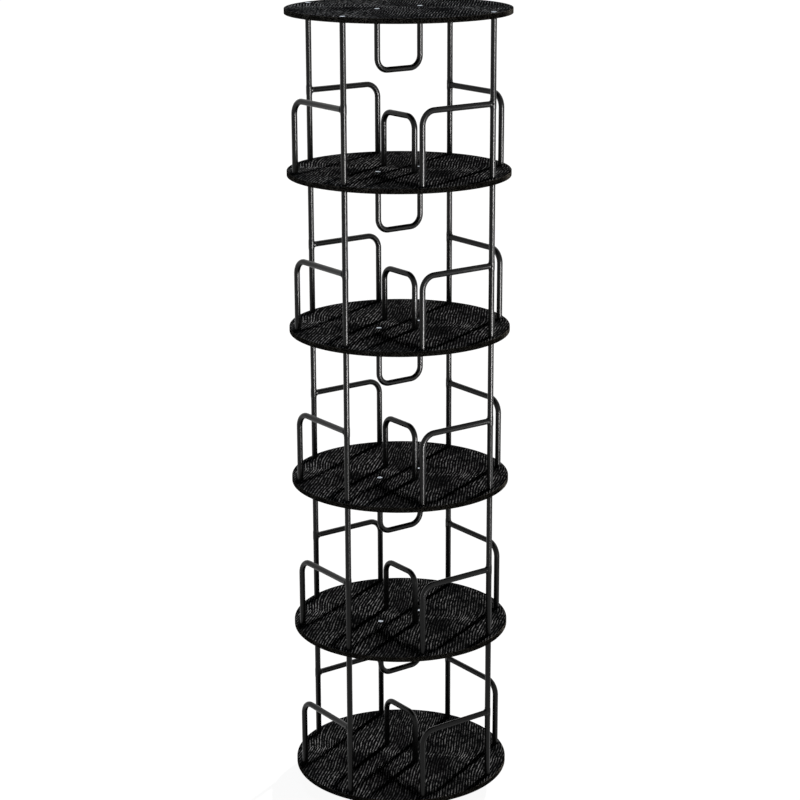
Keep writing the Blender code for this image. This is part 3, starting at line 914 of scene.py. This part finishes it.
def backdrop_strength(nodes, links, seen, unseen):
    """One level for rays that see the backdrop, straight or in gloss or glass, and one for its light."""
    path = nodes.new("ShaderNodeLightPath")
    total = path.outputs["Is Camera Ray"]
    for name in ("Is Glossy Ray", "Is Transmission Ray"):
        add = nodes.new("ShaderNodeMath")
        add.operation = "ADD"
        add.use_clamp = True
        links.new(total, add.inputs[0])
        links.new(path.outputs[name], add.inputs[1])
        total = add.outputs[0]
    level = nodes.new("ShaderNodeMapRange")
    links.new(total, level.inputs["Value"])
    level.inputs["To Min"].default_value = unseen
    level.inputs["To Max"].default_value = seen
    return level.outputs["Result"]


def add_floor():
    """A grey floor with a white glow where it is seen, on which the object's shadow shows faintly."""
    mesh = bpy.data.meshes.new("floor")
    half = FLOOR_SIZE / 2
    corners = [(-half, -half, 0), (half, -half, 0), (half, half, 0), (-half, half, 0)]
    mesh.from_pydata(corners, [], [(0, 1, 2, 3)])
    floor = bpy.data.objects.new("floor", mesh)
    bpy.context.scene.collection.objects.link(floor)
    material = bpy.data.materials.new("pale_floor")
    material.use_nodes = True
    nodes, links = material.node_tree.nodes, material.node_tree.links
    nodes.clear()
    out = nodes.new("ShaderNodeOutputMaterial")
    diffuse = nodes.new("ShaderNodeBsdfDiffuse")
    diffuse.inputs["Color"].default_value = (FLOOR_COLOUR, FLOOR_COLOUR, FLOOR_COLOUR, 1)
    glow = nodes.new("ShaderNodeEmission")
    links.new(backdrop_strength(nodes, links, FLOOR_GLOW, 0.0), glow.inputs["Strength"])
    both = nodes.new("ShaderNodeAddShader")
    links.new(diffuse.outputs[0], both.inputs[0])
    links.new(glow.outputs[0], both.inputs[1])
    links.new(both.outputs[0], out.inputs["Surface"])
    mesh.materials.append(material)


def add_world():
    """White where it is seen, and a dim fill from all round."""
    world = bpy.data.worlds.new("studio")
    bpy.context.scene.world = world
    world.use_nodes = True
    nodes, links = world.node_tree.nodes, world.node_tree.links
    background = nodes["Background"]
    background.inputs["Color"].default_value = (1, 1, 1, 1)
    links.new(backdrop_strength(nodes, links, 1.0, WORLD_FILL), background.inputs["Strength"])


def add_lamp(name, kind, place, target, energy, colour, **settings):
    lamp = bpy.data.lights.new(name, kind)
    lamp.energy = energy
    lamp.color = colour
    for key, value in settings.items():
        setattr(lamp, key, value)
    obj = bpy.data.objects.new(name, lamp)
    bpy.context.scene.collection.objects.link(obj)
    obj.location = place
    obj.rotation_euler = (target - place).to_track_quat("-Z", "Y").to_euler()
    return obj


def add_lights():
    reach = cos(KEY_ELEVATION)
    bearing = (reach * cos(KEY_AZIMUTH), reach * sin(KEY_AZIMUTH), sin(KEY_ELEVATION))
    key_place = from_view(*bearing) * KEY_DISTANCE
    sun = add_lamp("key", "SUN", key_place, up(0), KEY_STRENGTH, KEY_COLOUR, angle=KEY_ANGLE)
    sun.visible_glossy = False
    top_place = from_view(*TOP_PLACE)
    add_lamp(
        "top_soft", "AREA", top_place, up(TOP_AIM), TOP_STRENGTH, TOP_COLOUR,
        shape="DISK", size=TOP_SIZE,
    )
    card_place = from_view(*CARD_PLACE)
    card = add_lamp(
        "side_card", "AREA", card_place, up(CARD_AIM), CARD_STRENGTH, CARD_COLOUR,
        shape="RECTANGLE", size=CARD_WIDTH, size_y=CARD_HEIGHT, spread=CARD_BEAM,
    )
    card.visible_diffuse = False


def add_camera():
    camera = bpy.data.cameras.new("camera")
    camera.lens = VIEW_LENS
    camera.sensor_width = SENSOR_WIDTH
    camera.clip_end = 2 * FLOOR_SIZE
    obj = bpy.data.objects.new("camera", camera)
    bpy.context.scene.collection.objects.link(obj)
    stand = at(from_view(VIEW_OFFSET, -VIEW_DISTANCE, VIEW_HEIGHT))
    facing = Matrix.Rotation(VIEW_YAW, 4, "Z") @ Matrix.Rotation(pi / 2 - VIEW_PITCH, 4, "X")
    obj.matrix_world = stand @ facing @ Matrix.Rotation(VIEW_ROLL, 4, "Z")
    bpy.context.scene.camera = obj


add_floor()
add_world()
add_lights()
add_camera()
bpy.context.scene.view_settings.view_transform = "Standard"
